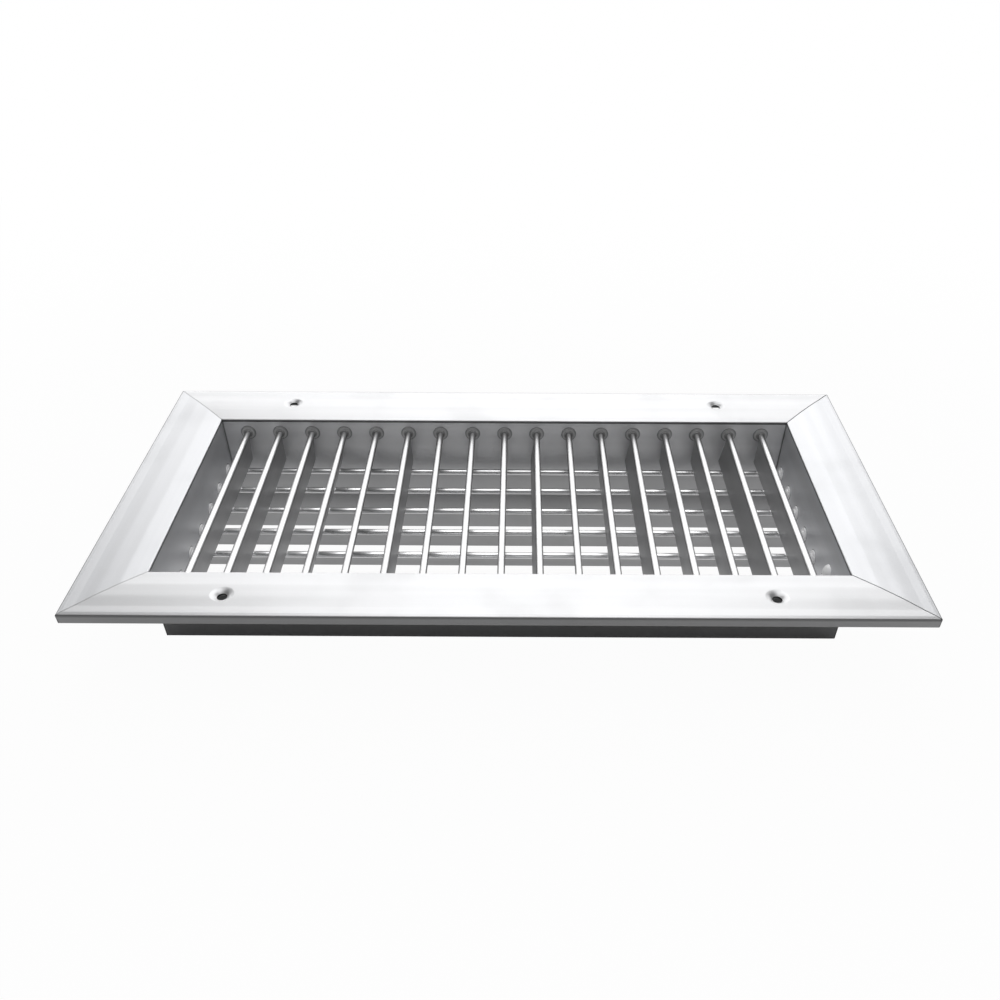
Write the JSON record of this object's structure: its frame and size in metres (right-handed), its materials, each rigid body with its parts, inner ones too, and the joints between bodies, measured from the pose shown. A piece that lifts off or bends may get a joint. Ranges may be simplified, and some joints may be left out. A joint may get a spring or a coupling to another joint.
{
  "type": "supply air grille",
  "caption": "Double deflection supply air grille: mitred aluminium flange and neck with crossed front and rear rows of turning blades in plastic bushes",
  "frame": {"origin": "middle of the neck's rear edge, which the grille stands on when it lies face up", "axes": "X along the long side, Y from the near to the far long side, Z out of the face, which looks up"},
  "size_m": [0.41, 0.208, 0.0441],
  "materials": {
    "frame_aluminium": "satin natural anodised",
    "blade_aluminium": "satin natural anodised",
    "key_metal": "zinc plated",
    "front_bush_plastic": "moulded dark grey nylon",
    "rear_bush_plastic": "moulded natural nylon, a little translucent",
    "plug_plastic": "moulded natural nylon, a little translucent"
  },
  "bodies": {
    "frame": {"frame_near": "frame_aluminium", "frame_far": "frame_aluminium", "frame_left": "frame_aluminium", "frame_right": "frame_aluminium", "corner_key_near_left": "key_metal", "corner_key_near_right": "key_metal", "corner_key_far_left": "key_metal", "corner_key_far_right": "key_metal", "front_bushes_near": "front_bush_plastic", "front_bushes_far": "front_bush_plastic", "rear_bush_left_1": "rear_bush_plastic", "rear_bush_left_2": "rear_bush_plastic", "rear_bush_left_3": "rear_bush_plastic", "rear_bush_left_4": "rear_bush_plastic", "rear_bush_left_5": "rear_bush_plastic", "rear_bush_left_6": "rear_bush_plastic", "rear_bush_left_7": "rear_bush_plastic", "rear_bush_right_1": "rear_bush_plastic", "rear_bush_right_2": "rear_bush_plastic", "rear_bush_right_3": "rear_bush_plastic", "rear_bush_right_4": "rear_bush_plastic", "rear_bush_right_5": "rear_bush_plastic", "rear_bush_right_6": "rear_bush_plastic", "rear_bush_right_7": "rear_bush_plastic", "neck_wall_plug": "plug_plastic"},
    "front_blade_01": {"front_blade_01": "blade_aluminium"},
    "front_blade_02": {"front_blade_02": "blade_aluminium"},
    "front_blade_03": {"front_blade_03": "blade_aluminium"},
    "front_blade_04": {"front_blade_04": "blade_aluminium"},
    "front_blade_05": {"front_blade_05": "blade_aluminium"},
    "front_blade_06": {"front_blade_06": "blade_aluminium"},
    "front_blade_07": {"front_blade_07": "blade_aluminium"},
    "front_blade_08": {"front_blade_08": "blade_aluminium"},
    "front_blade_09": {"front_blade_09": "blade_aluminium"},
    "front_blade_10": {"front_blade_10": "blade_aluminium"},
    "front_blade_11": {"front_blade_11": "blade_aluminium"},
    "front_blade_12": {"front_blade_12": "blade_aluminium"},
    "front_blade_13": {"front_blade_13": "blade_aluminium"},
    "front_blade_14": {"front_blade_14": "blade_aluminium"},
    "front_blade_15": {"front_blade_15": "blade_aluminium"},
    "front_blade_16": {"front_blade_16": "blade_aluminium"},
    "front_blade_17": {"front_blade_17": "blade_aluminium"},
    "rear_blade_1": {"rear_blade_1": "blade_aluminium"},
    "rear_blade_2": {"rear_blade_2": "blade_aluminium"},
    "rear_blade_3": {"rear_blade_3": "blade_aluminium"},
    "rear_blade_4": {"rear_blade_4": "blade_aluminium"},
    "rear_blade_5": {"rear_blade_5": "blade_aluminium"},
    "rear_blade_6": {"rear_blade_6": "blade_aluminium"},
    "rear_blade_7": {"rear_blade_7": "blade_aluminium"}
  },
  "joints": [
    {"name": "front_blade_01_turn", "type": "hinge", "parent": "frame", "child": "front_blade_01", "pos_m": [-0.1576, 0, 0.0337], "axis": [0, -1, 0], "range_deg": [-42.5, 47.5]},
    {"name": "front_blade_02_turn", "type": "hinge", "parent": "frame", "child": "front_blade_02", "pos_m": [-0.1379, 0, 0.0337], "axis": [0, -1, 0], "range_deg": [-47, 43]},
    {"name": "front_blade_03_turn", "type": "hinge", "parent": "frame", "child": "front_blade_03", "pos_m": [-0.1182, 0, 0.0337], "axis": [0, -1, 0], "range_deg": [-42.5, 47.5]},
    {"name": "front_blade_04_turn", "type": "hinge", "parent": "frame", "child": "front_blade_04", "pos_m": [-0.0985, 0, 0.0337], "axis": [0, -1, 0], "range_deg": [-34, 56]},
    {"name": "front_blade_05_turn", "type": "hinge", "parent": "frame", "child": "front_blade_05", "pos_m": [-0.0788, 0, 0.0337], "axis": [0, -1, 0], "range_deg": [-30, 60]},
    {"name": "front_blade_06_turn", "type": "hinge", "parent": "frame", "child": "front_blade_06", "pos_m": [-0.0591, 0, 0.0337], "axis": [0, -1, 0], "range_deg": [-49.5, 40.5]},
    {"name": "front_blade_07_turn", "type": "hinge", "parent": "frame", "child": "front_blade_07", "pos_m": [-0.0394, 0, 0.0337], "axis": [0, -1, 0], "range_deg": [-36, 54]},
    {"name": "front_blade_08_turn", "type": "hinge", "parent": "frame", "child": "front_blade_08", "pos_m": [-0.0197, 0, 0.0337], "axis": [0, -1, 0], "range_deg": [-40, 50]},
    {"name": "front_blade_09_turn", "type": "hinge", "parent": "frame", "child": "front_blade_09", "pos_m": [0, 0, 0.0337], "axis": [0, -1, 0], "range_deg": [-42, 48]},
    {"name": "front_blade_10_turn", "type": "hinge", "parent": "frame", "child": "front_blade_10", "pos_m": [0.0197, 0, 0.0337], "axis": [0, -1, 0], "range_deg": [-35.5, 54.5]},
    {"name": "front_blade_11_turn", "type": "hinge", "parent": "frame", "child": "front_blade_11", "pos_m": [0.0394, 0, 0.0337], "axis": [0, -1, 0], "range_deg": [-49.5, 40.5]},
    {"name": "front_blade_12_turn", "type": "hinge", "parent": "frame", "child": "front_blade_12", "pos_m": [0.0591, 0, 0.0337], "axis": [0, -1, 0], "range_deg": [-43, 47]},
    {"name": "front_blade_13_turn", "type": "hinge", "parent": "frame", "child": "front_blade_13", "pos_m": [0.0788, 0, 0.0337], "axis": [0, -1, 0], "range_deg": [-35.5, 54.5]},
    {"name": "front_blade_14_turn", "type": "hinge", "parent": "frame", "child": "front_blade_14", "pos_m": [0.0985, 0, 0.0337], "axis": [0, -1, 0], "range_deg": [-41.5, 48.5]},
    {"name": "front_blade_15_turn", "type": "hinge", "parent": "frame", "child": "front_blade_15", "pos_m": [0.1182, 0, 0.0337], "axis": [0, -1, 0], "range_deg": [-41, 49]},
    {"name": "front_blade_16_turn", "type": "hinge", "parent": "frame", "child": "front_blade_16", "pos_m": [0.1379, 0, 0.0337], "axis": [0, -1, 0], "range_deg": [-34, 56]},
    {"name": "front_blade_17_turn", "type": "hinge", "parent": "frame", "child": "front_blade_17", "pos_m": [0.1576, 0, 0.0337], "axis": [0, -1, 0], "range_deg": [-42, 41]},
    {"name": "rear_blade_1_turn", "type": "hinge", "parent": "frame", "child": "rear_blade_1", "pos_m": [0, -0.0612, 0.0119], "axis": [1, 0, 0], "range_deg": [-53, 37]},
    {"name": "rear_blade_2_turn", "type": "hinge", "parent": "frame", "child": "rear_blade_2", "pos_m": [0, -0.0408, 0.0119], "axis": [1, 0, 0], "range_deg": [-60, 30]},
    {"name": "rear_blade_3_turn", "type": "hinge", "parent": "frame", "child": "rear_blade_3", "pos_m": [0, -0.0204, 0.0119], "axis": [1, 0, 0], "range_deg": [-68, 22]},
    {"name": "rear_blade_4_turn", "type": "hinge", "parent": "frame", "child": "rear_blade_4", "pos_m": [0, 0, 0.0119], "axis": [1, 0, 0], "range_deg": [-58, 32]},
    {"name": "rear_blade_5_turn", "type": "hinge", "parent": "frame", "child": "rear_blade_5", "pos_m": [0, 0.0204, 0.0119], "axis": [1, 0, 0], "range_deg": [-49.5, 40.5]},
    {"name": "rear_blade_6_turn", "type": "hinge", "parent": "frame", "child": "rear_blade_6", "pos_m": [0, 0.0408, 0.0119], "axis": [1, 0, 0], "range_deg": [-33, 57]},
    {"name": "rear_blade_7_turn", "type": "hinge", "parent": "frame", "child": "rear_blade_7", "pos_m": [0, 0.0612, 0.0119], "axis": [1, 0, 0], "range_deg": [-42, 48]}
  ]
}
